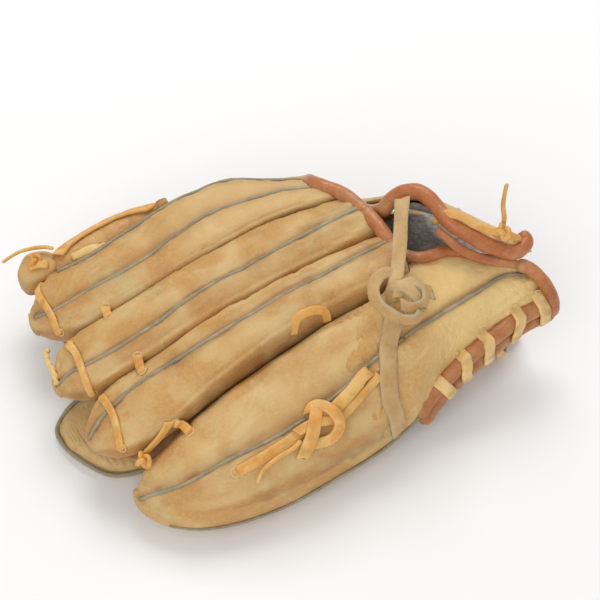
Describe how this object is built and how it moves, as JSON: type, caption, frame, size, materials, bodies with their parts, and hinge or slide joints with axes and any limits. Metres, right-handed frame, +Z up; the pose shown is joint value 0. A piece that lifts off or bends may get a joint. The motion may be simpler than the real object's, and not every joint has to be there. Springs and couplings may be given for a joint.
{
  "type": "baseball fielder's glove",
  "caption": "Worn tan leather baseball glove for the left hand, laced and welted, lying nearly closed with its pocket folded on the thumb side and its fingers on top.",
  "frame": {"origin": "the middle of the bottom of the glove's bounding box, where it lies on a floor, leaving out the loose lace ends", "axes": "+X from the fingertips to the wrist, +Y from the little finger to the web, +Z up"},
  "size_m": [0.2901, 0.2102, 0.1261],
  "materials": {
    "stall_leather": "worn tan leather with fine grain and rubbed, greyish patches",
    "heel_leather": "pale, dry tan leather",
    "palm_leather": "darker tan palm leather, smooth from use",
    "welting": "grey-green piped seam welting",
    "binding": "orange-brown rolled leather binding, slightly glossy",
    "rawhide_lace": "orange rawhide lace",
    "heel_lace": "cream rawhide lace",
    "tie_strap": "pale, worn leather strap",
    "fleece": "matted grey fleece lining"
  },
  "bodies": {
    "thumb_side": {"thumb_stall": "stall_leather", "palm_leather_thumb_side": "palm_leather", "web_thumb_panel": "palm_leather", "thumb_heel_pad": "palm_leather", "thumb_heel_panel": "stall_leather", "thumb_heel_roll": "binding", "thumb_heel_lace": "heel_lace", "thumb_rim_welt": "welting"},
    "finger_side": {"crotch_lace_loop": "rawhide_lace", "hand_lining": "fleece", "heel_back_roll": "binding", "heel_lace": "heel_lace", "heel_palm_roll": "binding", "heel_panel_welt": "welting", "index_edge_welt": "welting", "index_middle_lace": "rawhide_lace", "index_stall": "stall_leather", "index_tip_lace": "rawhide_lace", "index_welt": "welting", "middle_ring_lace": "rawhide_lace", "middle_stall": "stall_leather", "middle_tip_lace": "rawhide_lace", "middle_welt": "welting", "palm_leather_finger_side": "palm_leather", "pinky_edge_welt": "welting", "pinky_heel_pad": "palm_leather", "pinky_heel_panel": "heel_leather", "pinky_lace_knot": "rawhide_lace", "pinky_lace_lower": "rawhide_lace", "pinky_lace_run": "rawhide_lace", "pinky_lace_tail": "rawhide_lace", "pinky_lace_upper": "rawhide_lace", "pinky_stall": "stall_leather", "pinky_welt": "welting", "ring_pinky_lace": "rawhide_lace", "ring_stall": "stall_leather", "ring_tip_lace": "rawhide_lace", "ring_welt": "welting", "tie_strap_bottom": "tie_strap", "tie_strap_end": "tie_strap", "tie_strap_knot": "tie_strap", "tie_strap_top": "tie_strap", "tip_lace_knot": "rawhide_lace", "web_edge_lace": "rawhide_lace", "web_finger_panel": "palm_leather", "web_lace_knot": "rawhide_lace", "web_lace_tail": "rawhide_lace", "web_top_piece": "stall_leather", "window_back_binding": "binding", "window_low_binding": "binding", "wrist_binding": "binding"},
    "wrist_strap": {"wrist_strap": "stall_leather", "strap_lining": "fleece", "strap_binding": "binding", "strap_lace": "rawhide_lace", "strap_lace_knot": "rawhide_lace", "strap_lace_tail": "rawhide_lace"}
  },
  "joints": [
    {"name": "pocket_fold", "type": "hinge", "parent": "thumb_side", "child": "finger_side", "pos_m": [0.1358, 0.0334, 0.02], "axis": [-0.9597, 0.2804, 0.0158], "range_deg": [0, 50]},
    {"name": "strap_hinge", "type": "hinge", "parent": "finger_side", "child": "wrist_strap", "pos_m": [0.0968, 0.0434, 0.046], "axis": [-1, 0, 0], "range_deg": [0, 15]}
  ]
}
